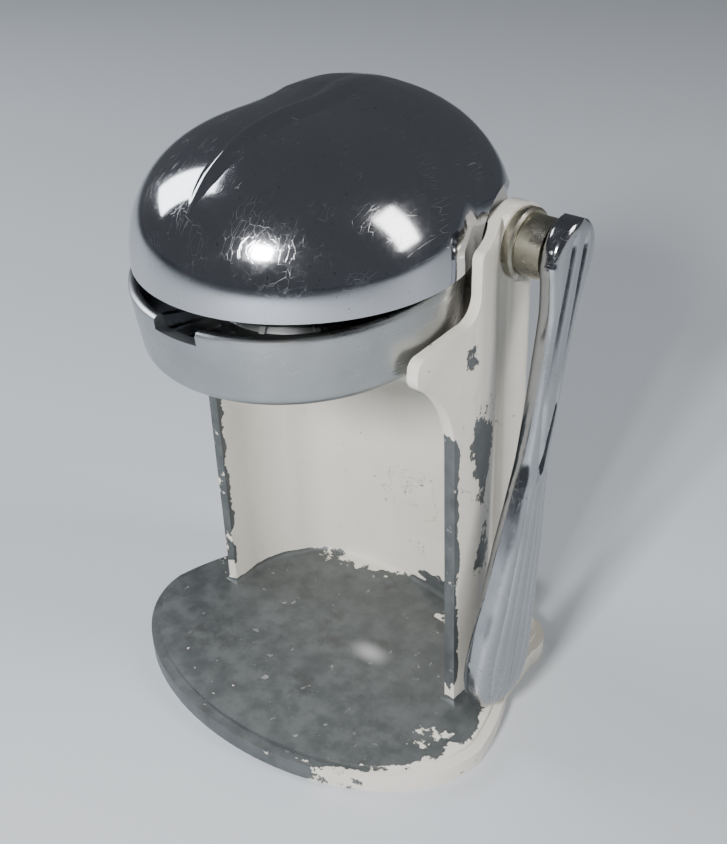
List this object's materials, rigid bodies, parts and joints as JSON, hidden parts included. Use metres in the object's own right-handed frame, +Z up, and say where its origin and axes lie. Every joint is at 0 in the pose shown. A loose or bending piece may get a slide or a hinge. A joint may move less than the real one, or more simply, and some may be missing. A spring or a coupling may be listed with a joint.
{
  "type": "lever-operated citrus juicer",
  "caption": "Vintage hand-operated citrus juicer: chromed tilting dome head, aluminium juice bowl, worn cream-painted cast column and base, chromed side lever.",
  "frame": {"origin": "on the table plane, on the machine's centre plane, under the middle of the bowl and dome", "axes": "+Z up; +X towards the lever side (operator's right); +Y towards the rear"},
  "size_m": [0.15, 0.1404, 0.2137],
  "materials": {
    "painted_casting": "cream enamel, chipped to dark bare metal at edges and feet",
    "chrome_shell": "polished, fine scratches",
    "chrome_lever": "polished, slightly worn",
    "nickel": "nickel plated, tarnished",
    "cast_aluminium": "satin, machine polished",
    "rough_aluminium": "as cast",
    "steel": "plain turned steel",
    "foot_rubber": "matt black"
  },
  "bodies": {
    "stand": {"column_base": "painted_casting", "rubber_feet": "foot_rubber", "right_bushing": "nickel", "left_pivot_pin": "nickel", "thrust_washers": "steel", "bowl": "cast_aluminium", "bowl_spout": "cast_aluminium", "strainer": "cast_aluminium", "reamer_cone": "cast_aluminium"},
    "crank": {"crank_shaft": "steel", "hub_pin": "steel", "dog_pin": "steel", "lever_hub": "nickel", "drive_dog": "steel", "lever": "chrome_lever", "lever_set_screw": "steel"},
    "head": {"head_shell": "chrome_shell", "shell_screws": "steel", "head_frame": "rough_aluminium", "press_cup": "cast_aluminium", "cup_screw": "steel", "cup_washer": "steel", "cup_nut": "steel"}
  },
  "joints": [
    {"name": "crank_turn", "type": "hinge", "parent": "stand", "child": "crank", "pos_m": [0, 0.0465, 0.1665], "axis": [-1, 0, 0], "range_deg": [0, 110]},
    {"name": "head_tilt", "type": "hinge", "parent": "stand", "child": "head", "pos_m": [0, 0.0465, 0.1665], "axis": [-1, 0, 0], "range_deg": [0, 60]}
  ],
  "couplings": [
    {"joint": "head_tilt", "follows": "crank_turn", "ratio": 0.545}
  ]
}
